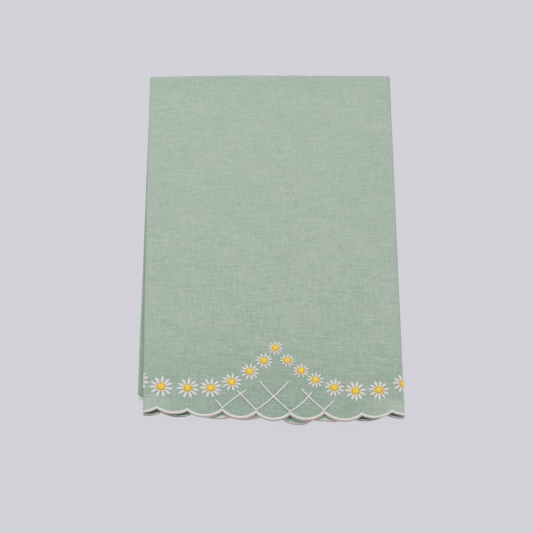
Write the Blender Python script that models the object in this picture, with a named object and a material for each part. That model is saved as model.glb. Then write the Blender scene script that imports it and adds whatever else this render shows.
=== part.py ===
"""Guest towel of green linen, scalloped and embroidered, folded to show its border.

Every piece is modelled flat, as the towel is sewn: u runs across the cloth, v runs
up from the decorated hem, and h stands out from the cloth's middle on its right side.
fold_towel then lays each point where the folds carry it. Both sides turn under first,
and the back half then turns under at the top. The folded towel lies with its
decorated hem toward -Y, its top fold toward +Y and its back panel on Z = 0, and the
origin is under the middle of its outline.
"""

import math

import bmesh
import bpy
from mathutils import Vector

MM = 0.001

# Flat cloth
CLOTH_WIDTH = 356.0 * MM
HEM_TO_HEM = 550.0 * MM  # between the lines of cusps of the two scalloped ends
CLOTH_THICKNESS = 1.0 * MM
GAP = 0.3 * MM

# Scalloped ends
EDGING_WIDTH = 2.7 * MM
EDGING_SHOULDER = 0.28  # share of the edging's width taken by each rounded side
SCALLOP_STEPS = 6
SCALLOP_PITCH = CLOTH_WIDTH / 15.0
BACK_CUSPS_PER_SIDE = 7
SCALLOP_DEPTH = 4.2 * MM
CORNER_SCALLOP_DEPTH = 1.4 * MM
BACK_SHIFT = 0.9 * MM  # how far across the plain end's scallops sit from even
FRONT_SCALLOPS = (
    # left cusp across, left cusp up, depth
    (-178.0, -0.8, 2.6),
    (-154.0, -2.9, 2.6),
    (-128.1, 0.1, 3.6),
    (-105.5, 0.6, 3.6),
    (-81.9, 0.9, 3.6),
    (-60.3, 0.0, 4.7),
    (-36.1, -0.1, 5.2),
    (-12.6, -1.0, 5.5),
    (10.8, -1.5, 5.2),
    (34.6, -0.3, 5.4),
    (60.8, -1.3, 3.7),
    (81.8, 1.1, 2.8),
    (105.4, 1.4, 3.7),
    (130.9, -1.3, 3.2),
    (156.9, -1.9, 3.5),
)
FRONT_END_CUSP = (178.0, -0.6)

# Side folds
LEFT_EDGE = 91.5 * MM
RIGHT_EDGE = 91.4 * MM
RIGHT_TAPER = 0.9 * MM  # how far the right fold draws in from the hem to the top fold
SIDE_RADIUS = 1.2 * MM
SIDE_COLUMN_START = 88.0 * MM
SIDE_COLUMN_END = 98.2 * MM
SIDE_COLUMN_STEP = 0.6 * MM
STATION_CLEARANCE = 0.2 * MM  # least distance between points along a hem

# Top fold
TOP_RADIUS = 3.3 * MM
TOP_STEPS = 8
CREST_Y = 282.3 * MM
CREST_START = 280.0 * MM  # v where the top fold's arc begins
LEFT_CREST_DIP = 1.8 * MM
CREST_DIP_START = -20.0 * MM
CREST_DIP_POWER = 1.5

# Lie of the layers
BACK_LEVEL = CLOTH_THICKNESS / 2.0
FRONT_LEVEL = BACK_LEVEL + 2.0 * TOP_RADIUS
FRONT_HEM_Y = 0.2 * MM
FRONT_HEM_SLOPE = -0.019
BACK_HEM_Y = 16.5 * MM
BACK_HEM_SLOPE = 0.03
BACK_SKEW = 4.0 * MM
HEM_LIFT = 1.8 * MM
FLAP_LIFT = 1.2 * MM
LIFT_REACH = 62.0 * MM
CORNER_DROP = 2.6 * MM
CORNER_ADVANCE = 1.6 * MM
CORNER_START = 148.0 * MM
CORNER_FULL = 166.0 * MM
CORNER_TOP = 14.0 * MM
CORNER_BOTTOM = -6.0 * MM

# Lines of points across the flat cloth, in millimetres
PANEL_COLUMNS = (-70.0, -46.0, -23.0, -5.0, 4.0, 13.0, 34.0, 52.0, 72.0)
FLAP_COLUMNS = (112.0, 150.0, 160.0, 168.0)
FRONT_ROWS = (2.0, 7.0, 12.0, 22.0, 34.0, 48.0, 62.0, 100.0, 150.0, 200.0, 245.0)
BACK_ROWS = (340.0, 400.0, 460.0, 515.0, 543.0)
MERGE = 1e-7

# Middle of the folded towel's outline, where the origin goes
MIDDLE_X = -1.4 * MM
MIDDLE_Y = 138.2 * MM

# Soft unevenness of the front panel
WAVES = (
    # height, across length, up length, across phase, up phase
    (0.22 * MM, 150.0 * MM, 190.0 * MM, 0.4, 1.1),
    (0.14 * MM, 83.0 * MM, 120.0 * MM, 2.0, 0.3),
)
WAVE_SIDE_INSET = 25.0 * MM
WAVE_TOP_INSET = 40.0 * MM
PRESS_CREASE_HEIGHT = 0.25 * MM
PRESS_CREASE_X = 4.0 * MM
PRESS_CREASE_REACH = 9.0 * MM

# Embroidery
PETALS = 11
DISC_RADIUS = 0.165  # shares of a daisy's width from here on
PETAL_WAIST = 0.175
PETAL_BELLY = 0.37
PETAL_BELLY_HALF = 0.054
PETAL_SHOULDER = 0.455
PETAL_SHOULDER_HALF = 0.034
PETAL_TIP = 0.5
STITCH_REACH = 0.245
PETAL_BASE = CLOTH_THICKNESS / 2.0 + GAP
PETAL_TOP = PETAL_BASE + 0.3 * MM
CENTRE_BASE = PETAL_TOP + GAP
CENTRE_TOP = CENTRE_BASE + 0.3 * MM
CENTRE_CROWN = CENTRE_TOP + 0.2 * MM
DAISIES = (
    # across, up, width, turn of the first petal in degrees
    (-96.2, 20.0, 16.4, 82.0),
    (-79.2, 16.0, 16.4, 82.0),
    (-60.3, 15.2, 15.7, 83.0),
    (-44.3, 15.6, 15.2, 81.0),
    (-29.6, 20.5, 14.1, 80.0),
    (-16.7, 29.2, 13.2, 81.0),
    (-6.4, 38.3, 12.4, 79.0),
    (1.6, 48.6, 10.8, 93.0),
    (10.1, 38.6, 10.8, 86.0),
    (19.5, 30.4, 11.3, 84.0),
    (29.6, 23.3, 12.3, 83.0),
    (42.8, 17.4, 13.8, 80.0),
    (57.7, 15.1, 14.6, 80.0),
    (74.1, 16.0, 14.7, 79.0),
    (91.8, 20.5, 14.5, 80.0),
)

# Lattice of cord stitch
CORD_WIDTH = 1.1 * MM
CORD_STEPS = 8
CORD_CROWN = 0.5  # share of its width that is flat on top
RISING_CORD = (PETAL_BASE, PETAL_BASE + 0.5 * MM)
FALLING_CORD = (PETAL_BASE + 0.04 * MM, PETAL_BASE + 0.6 * MM)
CORD_CLEARANCE = 0.3 * MM
RISING_CORDS = (
    # scallop, end across, end up, bow below the straight line
    (6, -18.9, 14.6, -0.5),
    (7, 10.6, 21.8, 0.8),
    (8, 26.9, 13.7, 0.8),
    (9, 42.6, 7.2, -0.1),
)
FALLING_CORDS = (
    # scallop, end across, end up, bow below the straight line
    (6, -41.2, 6.4, -0.2),
    (7, -25.6, 13.6, 0.1),
    (8, -9.9, 21.4, 0.4),
    (9, 19.4, 15.9, 0.0),
)

LINEN_GREEN = (0.371, 0.468, 0.386)
THREAD_WHITE = (0.80, 0.79, 0.77)
THREAD_YELLOW = (0.83, 0.60, 0.055)
LINEN_ROUGHNESS = 0.9
THREAD_ROUGHNESS = 0.6


def clear_scene():
    """Remove every object that the file opened with."""
    for item in list(bpy.data.objects):
        bpy.data.objects.remove(item, do_unlink=True)


def make_material(name, colour, roughness):
    """Return a Principled material of one plain colour."""
    material = bpy.data.materials.new(name)
    material.use_nodes = True
    shader = material.node_tree.nodes["Principled BSDF"]
    shader.inputs["Base Color"].default_value = (*colour, 1.0)
    shader.inputs["Roughness"].default_value = roughness
    shader.inputs["Metallic"].default_value = 0.0
    return material


def ease(start, end, value):
    """Return 0 at start and 1 at end, with level ends between them."""
    share = min(max((value - start) / (end - start), 0.0), 1.0)
    return share * share * (3.0 - 2.0 * share)


def crest_line(x):
    """Y at which the top fold begins; its left end dips a little."""
    run = max(CREST_DIP_START - x, 0.0) / (LEFT_EDGE + CREST_DIP_START)
    return CREST_Y - LEFT_CREST_DIP * run ** CREST_DIP_POWER


def panel_wave(x, v, edge):
    """Height that the front panel's soft waves and its press crease add."""
    inset = ease(0.0, WAVE_SIDE_INSET, edge - abs(x)) * ease(0.0, WAVE_TOP_INSET, CREST_START - v)
    wave = 0.0
    for height, across, up, across_phase, up_phase in WAVES:
        across_turn = math.tau * x / across + across_phase
        up_turn = math.tau * v / up + up_phase
        wave += height * math.sin(across_turn) * math.cos(up_turn)
    crease = PRESS_CREASE_HEIGHT * (1.0 - ease(0.0, PRESS_CREASE_REACH, abs(x - PRESS_CREASE_X)))
    return (wave + crease) * inset


def fold_towel(u, v, h):
    """Return where the folds carry the flat point u, v at height h."""
    side = 1.0 if u >= 0.0 else -1.0
    edge = LEFT_EDGE
    if side > 0.0:
        edge = RIGHT_EDGE - RIGHT_TAPER * min(max(v / CREST_START, 0.0), 1.0)
    run = abs(u)

    rise = ease(LIFT_REACH, 0.0, v)
    front = FRONT_LEVEL + HEM_LIFT * rise
    radius = SIDE_RADIUS + (HEM_LIFT - FLAP_LIFT) * rise / 2.0

    arc_start = edge - radius
    turn = min(max((run - arc_start) / radius, 0.0), math.pi)
    past = max(run - arc_start - math.pi * radius, 0.0)
    x = side * (min(run, arc_start) + (radius + h) * math.sin(turn) - past)
    depth = h * math.cos(turn) - radius * (1.0 - math.cos(turn))
    under = (1.0 - math.cos(turn)) / 2.0

    top_arc = math.pi * TOP_RADIUS
    past_crest = v - CREST_START
    crest = crest_line(x)
    if past_crest <= 0.0:
        hem = FRONT_HEM_Y + FRONT_HEM_SLOPE * x
        corner = ease(CORNER_START, CORNER_FULL, u) * ease(CORNER_TOP, CORNER_BOTTOM, v)
        y = hem + (crest - hem) * v / CREST_START - CORNER_ADVANCE * corner
        z = front + depth + panel_wave(x, v, edge) * (1.0 - under) - CORNER_DROP * corner
    elif past_crest < top_arc:
        bend = past_crest / TOP_RADIUS
        y = crest + (TOP_RADIUS + depth) * math.sin(bend)
        z = BACK_LEVEL + TOP_RADIUS + (TOP_RADIUS + depth) * math.cos(bend)
    else:
        back_run = past_crest - top_arc
        share = back_run / (HEM_TO_HEM - CREST_START - top_arc)
        hem = BACK_HEM_Y + BACK_HEM_SLOPE * x
        y = crest + (hem - crest) * share
        x -= BACK_SKEW * share
        z = BACK_LEVEL - depth
    return Vector((x - MIDDLE_X, y - MIDDLE_Y, z))


def front_cusps():
    """Cusps of the decorated end, each with the depth of the scallop to its right."""
    cusps = [(across * MM, up * MM, depth * MM) for across, up, depth in FRONT_SCALLOPS]
    across, up = FRONT_END_CUSP
    return [*cusps, (across * MM, up * MM, 0.0)]


def back_cusps():
    """Cusps of the plain end, with about half a scallop at each corner."""
    corner = CLOTH_WIDTH / 2.0
    cusps = [(-corner, 0.0, CORNER_SCALLOP_DEPTH)]
    for step in range(-BACK_CUSPS_PER_SIDE, BACK_CUSPS_PER_SIDE + 1):
        depth = SCALLOP_DEPTH if step < BACK_CUSPS_PER_SIDE else CORNER_SCALLOP_DEPTH
        cusps.append((step * SCALLOP_PITCH + BACK_SHIFT, 0.0, depth))
    cusps.append((corner, 0.0, 0.0))
    return cusps


def scallop_edge(cusps, outward, u):
    """Height at u of the scallops' arcs, moved outward from the edging's inner side."""
    for (left, left_up, depth), (right, right_up, _) in zip(cusps[:-1], cusps[1:]):
        if u <= right:
            break
    half = (right - left) / 2.0
    radius = (half ** 2 + depth ** 2) / (2.0 * depth)
    chord = left_up + (right_up - left_up) * (u - left) / (right - left)
    reach = math.sqrt((radius + outward) ** 2 - (u - left - half) ** 2)
    return chord - reach + radius - depth


def side_columns():
    """Places across the cloth where its side folds need a line of points."""
    count = round((SIDE_COLUMN_END - SIDE_COLUMN_START) / SIDE_COLUMN_STEP)
    right = [SIDE_COLUMN_START + step * SIDE_COLUMN_STEP for step in range(count + 1)]
    return [-place for place in reversed(right)] + right


def hem_stations(cusps):
    """Places across the cloth of the points along a scalloped end."""
    corners = [cusp[0] for cusp in cusps]
    stations = corners + side_columns()
    for left, right in zip(corners[:-1], corners[1:]):
        width = right - left
        stations += [left + width * step / SCALLOP_STEPS for step in range(1, SCALLOP_STEPS)]
    stations.sort()
    kept = [stations[0]]
    for place in stations[1:]:
        if place in corners and place - kept[-1] <= STATION_CLEARANCE:
            kept.pop()
        if place - kept[-1] > STATION_CLEARANCE:
            kept.append(place)
    return kept


def linen_outline():
    """Flat outline of the cloth, inside the edging at its two ends."""
    near, far = front_cusps(), back_cusps()
    front = [(u, scallop_edge(near, -GAP, u)) for u in hem_stations(near)]
    back = [(u, HEM_TO_HEM - scallop_edge(far, -GAP, u)) for u in hem_stations(far)]
    return front + back[::-1]


def slab(outline, low, high):
    """Return a flat slab of an outline between two heights."""
    mesh = bmesh.new()
    face = mesh.faces.new([mesh.verts.new((u, v, low)) for u, v in outline])
    raised = bmesh.ops.extrude_face_region(mesh, geom=[face])["geom"]
    moved = [item for item in raised if isinstance(item, bmesh.types.BMVert)]
    bmesh.ops.translate(mesh, verts=moved, vec=(0.0, 0.0, high - low))
    bmesh.ops.recalc_face_normals(mesh, faces=mesh.faces)
    return mesh


def score(mesh, columns, rows):
    """Cut lines of points across a flat mesh where the folds bend it."""
    cuts = [(Vector((u, 0.0, 0.0)), Vector((1.0, 0.0, 0.0))) for u in columns]
    cuts += [(Vector((0.0, v, 0.0)), Vector((0.0, 1.0, 0.0))) for v in rows]
    for place, normal in cuts:
        geometry = mesh.verts[:] + mesh.edges[:] + mesh.faces[:]
        bmesh.ops.bisect_plane(mesh, geom=geometry, dist=MERGE, plane_co=place, plane_no=normal)


def tube(rings):
    """Return a closed mesh through rings of points, with a cap at each end."""
    mesh = bmesh.new()
    loops = [[mesh.verts.new(point) for point in ring] for ring in rings]
    for first, second in zip(loops[:-1], loops[1:]):
        for index in range(len(first)):
            following = (index + 1) % len(first)
            mesh.faces.new((first[index], first[following], second[following], second[index]))
    mesh.faces.new(loops[0])
    mesh.faces.new(list(reversed(loops[-1])))
    bmesh.ops.recalc_face_normals(mesh, faces=mesh.faces)
    return mesh


def folded_object(name, mesh, material):
    """Fold a flat mesh with the towel and return it as an object."""
    bmesh.ops.triangulate(mesh, faces=mesh.faces[:])
    for vertex in mesh.verts:
        vertex.co = fold_towel(*vertex.co)
    data = bpy.data.meshes.new(name)
    mesh.to_mesh(data)
    mesh.free()
    data.materials.append(material)
    item = bpy.data.objects.new(name, data)
    bpy.context.collection.objects.link(item)
    return item


def build_linen(material):
    """The one piece of cloth, with a line of points along every bend."""
    mesh = slab(linen_outline(), -CLOTH_THICKNESS / 2.0, CLOTH_THICKNESS / 2.0)
    panel = [place * MM for place in PANEL_COLUMNS]
    flaps = [side * place * MM for side in (-1.0, 1.0) for place in FLAP_COLUMNS]
    crest = [CREST_START + TOP_RADIUS * math.pi * step / TOP_STEPS for step in range(TOP_STEPS + 1)]
    rows = [place * MM for place in FRONT_ROWS + BACK_ROWS]
    score(mesh, side_columns() + panel + flaps, rows + crest)
    return folded_object("linen", mesh, material)


def build_edging(name, cusps, base, upward, material):
    """Satin-stitched edging that closes one scalloped end of the cloth."""
    half = CLOTH_THICKNESS / 2.0
    section = (
        # share of the way out, height
        (0.0, 0.0),
        (EDGING_SHOULDER, half),
        (1.0 - EDGING_SHOULDER, half),
        (1.0, 0.0),
        (1.0 - EDGING_SHOULDER, -half),
        (EDGING_SHOULDER, -half),
    )
    rings = []
    for u in hem_stations(cusps):
        near = scallop_edge(cusps, 0.0, u)
        far = scallop_edge(cusps, EDGING_WIDTH, u)
        rings.append([(u, base + upward * (near + (far - near) * out), h) for out, h in section])
    return folded_object(name, tube(rings), material)


def petal_outline(u, v, width, turn):
    """Outline of a daisy's petals, joined at a waist under its centre."""
    profile = (
        # distance out, half width
        (PETAL_BELLY, -PETAL_BELLY_HALF),
        (PETAL_SHOULDER, -PETAL_SHOULDER_HALF),
        (PETAL_TIP, 0.0),
        (PETAL_SHOULDER, PETAL_SHOULDER_HALF),
        (PETAL_BELLY, PETAL_BELLY_HALF),
    )
    outline = []
    for petal in range(PETALS):
        angle = math.radians(turn) + math.tau * petal / PETALS
        out = Vector((math.cos(angle), math.sin(angle)))
        across = Vector((-out.y, out.x))
        waist = angle + math.pi / PETALS
        outline += [(out * far + across * half) * width for far, half in profile]
        outline.append(Vector((math.cos(waist), math.sin(waist))) * PETAL_WAIST * width)
    return [(u + point.x, v + point.y) for point in outline]


def centre_outline(u, v, width, turn):
    """Outline of a daisy's centre, with a short stitch between each two petals."""
    outline = []
    for step in range(2 * PETALS):
        angle = math.radians(turn) + math.pi * step / PETALS
        reach = (STITCH_REACH if step % 2 else DISC_RADIUS) * width
        outline.append((u + reach * math.cos(angle), v + reach * math.sin(angle)))
    return outline


def build_daisy(number, daisy, white, yellow):
    """One embroidered daisy: its petals and its domed centre."""
    u, v, width = (value * MM for value in daisy[:3])
    turn = daisy[3]
    reach = width / 2.0
    columns = [place for place in side_columns() if abs(place - u) < reach]

    petals = slab(petal_outline(u, v, width, turn), PETAL_BASE, PETAL_TOP)
    score(petals, columns, [])
    folded_object(f"daisy_{number:02d}_petals", petals, white)

    centre = slab(centre_outline(u, v, width, turn), CENTRE_BASE, CENTRE_TOP)
    top = max(centre.faces, key=lambda face: face.calc_center_median().z)
    crown = bmesh.ops.poke(centre, faces=[top])["verts"][0]
    crown.co = (u, v, CENTRE_CROWN)
    score(centre, columns, [])
    folded_object(f"daisy_{number:02d}_centre", centre, yellow)


def cord_rings(cusp, end_across, end_up, bow, heights):
    """Sections along one cord, from just inside its cusp to its free end."""
    end = Vector((end_across * MM, end_up * MM))
    start = Vector(front_cusps()[cusp][:2])
    along = (end - start).normalized()
    start += along * CORD_CLEARANCE
    beside = Vector((-along.y, along.x))
    downward = -beside if beside.y > 0.0 else beside
    low, high = heights
    crown = CORD_CROWN / 2.0
    section = ((-0.5, low), (-crown, high), (crown, high), (0.5, low))
    rings = []
    for step in range(CORD_STEPS + 1):
        share = step / CORD_STEPS
        point = start.lerp(end, share) + downward * (bow * MM * 4.0 * share * (1.0 - share))
        rings.append([(*(point + beside * (CORD_WIDTH * half)), h) for half, h in section])
    return rings


def build_cords(name, table, heights, material):
    """All the cords that lean one way, as one mesh."""
    joined = bpy.data.meshes.new(name)
    whole = bmesh.new()
    for cusp, end_across, end_up, bow in table:
        mesh = tube(cord_rings(cusp, end_across, end_up, bow, heights))
        mesh.to_mesh(joined)
        mesh.free()
        whole.from_mesh(joined)
    bpy.data.meshes.remove(joined)
    return folded_object(name, whole, material)


def build_lattice(material):
    """The crossing cords above the middle scallops, joined where they cross."""
    lattice = build_cords("lattice", RISING_CORDS, RISING_CORD, material)
    guide = build_cords("lattice_guide", FALLING_CORDS, FALLING_CORD, material)
    guide.hide_render = True
    guide.display_type = "WIRE"
    union = lattice.modifiers.new("Crossing cords", "BOOLEAN")
    union.operation = "UNION"
    union.object = guide


def main():
    """Build the folded towel and its embroidery."""
    clear_scene()
    green = make_material("linen_green", LINEN_GREEN, LINEN_ROUGHNESS)
    white = make_material("thread_white", THREAD_WHITE, THREAD_ROUGHNESS)
    yellow = make_material("thread_yellow", THREAD_YELLOW, THREAD_ROUGHNESS)
    build_linen(green)
    build_edging("edging_front", front_cusps(), 0.0, 1.0, white)
    build_edging("edging_back", back_cusps(), HEM_TO_HEM, -1.0, white)
    for number, daisy in enumerate(DAISIES, start=1):
        build_daisy(number, daisy, white, yellow)
    build_lattice(white)


main()
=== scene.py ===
"""Looks of the guest towel: woven linen with satin-stitched daisies, edging and lattice.

Every piece is shaped flat, as the towel is sewn, with u across the cloth, v up from the
decorated hem and h out on its right side. Folding.lay then carries each point to where
the folds put it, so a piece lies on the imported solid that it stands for. Shapes and their
thread maps are in millimetres, until Workroom.add puts them on the frame, in metres.
"""

import logging
import math
from collections.abc import Callable
from dataclasses import dataclass, replace
from enum import Enum

import bmesh
import bpy
from mathutils import Matrix, Vector, noise


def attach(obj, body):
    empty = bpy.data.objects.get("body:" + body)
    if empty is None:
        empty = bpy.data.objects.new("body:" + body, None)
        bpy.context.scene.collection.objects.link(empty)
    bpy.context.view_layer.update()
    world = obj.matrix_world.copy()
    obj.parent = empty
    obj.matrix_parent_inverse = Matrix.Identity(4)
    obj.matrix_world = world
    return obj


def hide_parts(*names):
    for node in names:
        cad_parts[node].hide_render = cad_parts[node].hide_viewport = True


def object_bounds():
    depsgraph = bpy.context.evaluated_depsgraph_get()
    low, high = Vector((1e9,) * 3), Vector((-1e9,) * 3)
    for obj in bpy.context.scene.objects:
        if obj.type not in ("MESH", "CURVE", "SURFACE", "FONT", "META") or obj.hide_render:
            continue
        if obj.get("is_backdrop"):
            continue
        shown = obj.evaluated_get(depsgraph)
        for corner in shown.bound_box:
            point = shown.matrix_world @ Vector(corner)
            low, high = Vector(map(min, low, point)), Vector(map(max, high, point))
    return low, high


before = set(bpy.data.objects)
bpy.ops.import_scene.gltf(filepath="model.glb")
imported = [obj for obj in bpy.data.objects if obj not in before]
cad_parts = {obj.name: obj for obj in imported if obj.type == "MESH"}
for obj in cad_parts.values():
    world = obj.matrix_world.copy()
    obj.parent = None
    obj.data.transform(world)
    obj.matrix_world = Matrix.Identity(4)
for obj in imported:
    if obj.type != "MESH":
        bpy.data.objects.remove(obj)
CAD_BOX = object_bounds()

LOG = logging.getLogger("guest_towel")
MM = 0.001
ROOT = "root"
THREAD_MAP = "flat"
WELD = 1e-4  # millimetres
NOISE_ROUGHNESS = 0.55
LINEN_SURFACE = {"Sheen Weight": 0.25, "Sheen Roughness": 0.5, "Specular IOR Level": 0.25}
THREAD_SURFACE = {"Sheen Weight": 0.15, "Sheen Roughness": 0.4, "Specular IOR Level": 0.4}

Mesh = bmesh.types.BMesh
Material = bpy.types.Material
Object = bpy.types.Object
Pair = tuple[float, float]
Triple = tuple[float, float, float]
Rough = tuple[float, float, float, float]
Span = tuple[float, float, float, float, float]
Rows = tuple[tuple[float, ...], ...]
FlatPoint = tuple[Vector, Pair]


class Slot(Enum):
    """Material slots of the record."""

    LINEN = "linen_green"
    WHITE = "thread_white"
    YELLOW = "thread_yellow"


class End(Enum):
    """The two scalloped ends of the cloth."""

    FRONT = "front"
    BACK = "back"


def ease(start: float, end: float, value: float) -> float:
    """Return 0 at start and 1 at end, with level ends between them."""
    share = min(max((value - start) / (end - start), 0.0), 1.0)
    return share * share * (3.0 - 2.0 * share)


def own_noise(first: int, second: int, kind: Rough) -> float:
    """Return the noise of two numbers; its kind is its height, a step for each, and its layer."""
    height, first_step, second_step, layer = kind
    return height * noise.noise(Vector((first * first_step, second * second_step, layer)))


def spread(start: float, end: float, count: int) -> list[float]:
    """Return even places from past the start to the end."""
    return [start + (end - start) * part / count for part in range(1, count + 1)]


# Shapes


@dataclass(frozen=True)
class Folding:
    """Where the folds carry each point of the flat cloth."""

    hem_to_hem: float = 550.0
    left_edge: float = 91.5
    left_bow: float = 0.55
    right_edge: float = 91.2
    right_taper: float = 0.2
    side_radius: float = 1.2
    top_radius: float = 3.3
    crest_y: float = 282.6
    crest_start: float = 280.0
    crest_dip: float = 1.8
    crest_dip_start: float = -20.0
    crest_dip_power: float = 1.5
    back_level: float = 0.55
    front_level: float = 7.1
    front_hem: Pair = (0.2, -0.019)  # y and slope
    back_hem: Pair = (18.2, 0.03)
    back_skew: float = 4.0
    hem_lift: float = 1.8
    flap_lift: float = 1.5
    flap_advance: float = 0.35
    lift_reach: float = 62.0
    corner_drop: float = 1.5
    corner_advance: float = 2.3
    corner_across: Pair = (148.0, 166.0)
    corner_up: Pair = (14.0, -6.0)
    middle: Pair = (-1.4, 138.2)
    waves: Rows = (
        # height, across length, up length, across phase, up phase
        (0.22, 150.0, 190.0, 0.4, 1.1),
        (0.14, 83.0, 120.0, 2.0, 0.3),
    )
    crinkles: Rows = (
        # height, across length, up length
        (0.16, 34.0, 30.0),
        (0.07, 12.0, 10.0),
    )
    wave_side_inset: float = 25.0
    wave_top_inset: float = 40.0
    crinkle_inset: float = 6.0
    crinkle_layer: float = 3.7
    press_crease: Triple = (0.25, 4.0, 9.0)  # height, place and reach
    edge_wobble: Triple = (0.16, 34.0, 0.5)  # height, length and noise layer
    flap_inset: Pair = (1.5, 0.4)  # near the side folds, and far from them
    inset_change: Pair = (124.0, 142.0)
    stitch_face: float = 0.25
    stitch_press: float = 0.65  # share of a stitch's height that a side fold presses flat

    def crest(self, x: float) -> float:
        """Return the y at which the top fold begins."""
        run = max(self.crest_dip_start - x, 0.0) / (self.left_edge + self.crest_dip_start)
        return self.crest_y - self.crest_dip * run ** self.crest_dip_power

    def relief(self, x: float, v: float, edge: float) -> float:
        """Return how far the front panel's waves, crinkles and press crease lift it.

        Args:
            x: Place across the folded towel.
            v: Place up the flat cloth.
            edge: Distance of the side fold from the middle.

        Returns:
            The height that they add.
        """
        side_room, top_room = edge - abs(x), self.crest_start - v
        inset = ease(0.0, self.wave_side_inset, side_room) * ease(0.0, self.wave_top_inset, top_room)
        soft = 0.0
        for height, across, up, across_phase, up_phase in self.waves:
            across_turn = math.tau * x / across + across_phase
            soft += height * math.sin(across_turn) * math.cos(math.tau * v / up + up_phase)
        height, place, reach = self.press_crease
        soft += height * (1.0 - ease(0.0, reach, abs(x - place)))
        near = ease(0.0, self.crinkle_inset, side_room) * ease(0.0, self.crinkle_inset, top_room)
        fine = 0.0
        for layer, (height, across, up) in enumerate(self.crinkles):
            fine += height * noise.noise(Vector((x / across, v / up, self.crinkle_layer + layer)))
        return soft * inset + fine * near

    def fold_line(self, side: float, v: float) -> float:
        """Return how far the side fold lies from the middle at a place up the cloth."""
        wobble, length, layer = self.edge_wobble
        share = min(max(v / self.crest_start, 0.0), 1.0)
        if side > 0.0:
            edge = self.right_edge - self.right_taper * share
        else:
            edge = self.left_edge + self.left_bow * math.sin(math.pi * share)
        return edge + wobble * noise.noise(Vector((v / length, side, layer)))

    def facing(self, u: float) -> float:
        """Return 1 where the cloth lies right side up and -1 where it is turned under."""
        turn = (abs(u) - self.left_edge + self.side_radius) / self.side_radius
        return math.cos(min(max(turn, 0.0), math.pi))

    def inset(self, u: float) -> float:
        """Return how much narrower the edging is than on the front, which is only on the flaps."""
        near, far = self.flap_inset
        return (near + (far - near) * ease(*self.inset_change, abs(u))) * (1.0 - self.facing(u)) / 2.0

    def lay(self, u: float, v: float, h: float) -> Vector:
        """Carry a point of the flat cloth to where the folds put it.

        Args:
            u: Place across the flat cloth.
            v: Place up the flat cloth, from the decorated hem.
            h: Height over the cloth's middle, on its right side.

        Returns:
            The point in the towel's own frame.
        """
        side = 1.0 if u >= 0.0 else -1.0
        edge = self.fold_line(side, v)
        run = abs(u)
        rise = ease(self.lift_reach, 0.0, v)
        radius = self.side_radius + (self.hem_lift - self.flap_lift) * rise / 2.0
        arc_start = edge - radius
        turn = min(max((run - arc_start) / radius, 0.0), math.pi)
        past = max(run - arc_start - math.pi * radius, 0.0)
        h -= self.stitch_press * math.sin(turn) * max(h - self.stitch_face, 0.0)
        x = side * (min(run, arc_start) + (radius + h) * math.sin(turn) - past)
        depth = h * math.cos(turn) - radius * (1.0 - math.cos(turn))
        under = (1.0 - math.cos(turn)) / 2.0

        top_arc = math.pi * self.top_radius
        past_crest = v - self.crest_start
        crest = self.crest(x)
        if past_crest <= 0.0:
            level, slope = self.front_hem
            hem = level + slope * x
            corner = ease(*self.corner_across, u) * ease(*self.corner_up, v)
            y = hem + (crest - hem) * v / self.crest_start - self.corner_advance * corner
            y -= self.flap_advance * rise * under
            z = self.front_level + self.hem_lift * rise + depth - self.corner_drop * corner
            z += self.relief(x, v, edge) * (1.0 - under)
        elif past_crest < top_arc:
            bend = past_crest / self.top_radius
            y = crest + (self.top_radius + depth) * math.sin(bend)
            z = self.back_level + self.top_radius + (self.top_radius + depth) * math.cos(bend)
        else:
            share = (past_crest - top_arc) / (self.hem_to_hem - self.crest_start - top_arc)
            level, slope = self.back_hem
            hem = level + slope * x
            y = crest + (hem - crest) * share
            x -= self.back_skew * share
            z = self.back_level - depth
        return Vector((x - self.middle[0], y - self.middle[1], z))


@dataclass(frozen=True)
class Scallops:
    """Row of scallops at one end of the cloth.

    Each row of cusps holds a left cusp's place across and up, and the depth of the
    scallop to its right.
    """

    cusps: Rows
    end_cusp: Pair
    slant_power: int = 4  # the higher, the nearer to a cusp its stitches stand straight

    def spans(self) -> list[Span]:
        """Return left and right, their heights, and the depth of each scallop."""
        corners = [*self.cusps, (*self.end_cusp, 0.0)]
        return [
            (left, right, left_up, right_up, depth)
            for (left, left_up, depth), (right, right_up, _) in zip(corners, corners[1:])
        ]

    def span_at(self, u: float) -> Span:
        """Return the scallop that a place across the cloth lies in."""
        return next((span for span in self.spans() if u <= span[1] + WELD), self.spans()[-1])

    def arc(self, u: float) -> Triple:
        """Return how far a place lies from its scallop's middle, half its width and its radius."""
        left, right, _, _, depth = self.span_at(u)
        half = (right - left) / 2.0
        return u - left - half, half, (half ** 2 + depth ** 2) / (2.0 * depth)

    def edge(self, u: float, outward: float) -> float:
        """Return how far up the arcs lie, moved outward from the edging's inner side."""
        left, right, left_up, right_up, depth = self.span_at(u)
        offset, _, radius = self.arc(u)
        chord = left_up + (right_up - left_up) * (u - left) / (right - left)
        return chord - math.sqrt(max((radius + outward) ** 2 - offset ** 2, 0.0)) + radius - depth

    def slant(self, u: float, width: float) -> float:
        """Return how far a stitch that starts at u leans sideways over the edging."""
        offset, half, radius = self.arc(u)
        return width * offset / radius * (1.0 - (offset / half) ** self.slant_power)


def plain_scallops(
    width: float, count: int, depth: float, corner_depth: float, shift: float
) -> Scallops:
    """Return even scallops with about half a scallop at each corner.

    Args:
        width: Width of the cloth.
        count: Number of scallop widths across it.
        depth: Depth of a whole scallop.
        corner_depth: Depth of the two half ones.
        shift: How far across the cusps sit from even.

    Returns:
        The row of scallops.
    """
    pitch, corner, last = width / count, width / 2.0, count // 2
    cusps = [(-corner, 0.0, corner_depth)]
    cusps += [(step * pitch + shift, 0.0, depth) for step in range(-last, last)]
    cusps += [(last * pitch + shift, 0.0, corner_depth)]
    return Scallops(tuple(cusps), (corner, 0.0))


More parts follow.
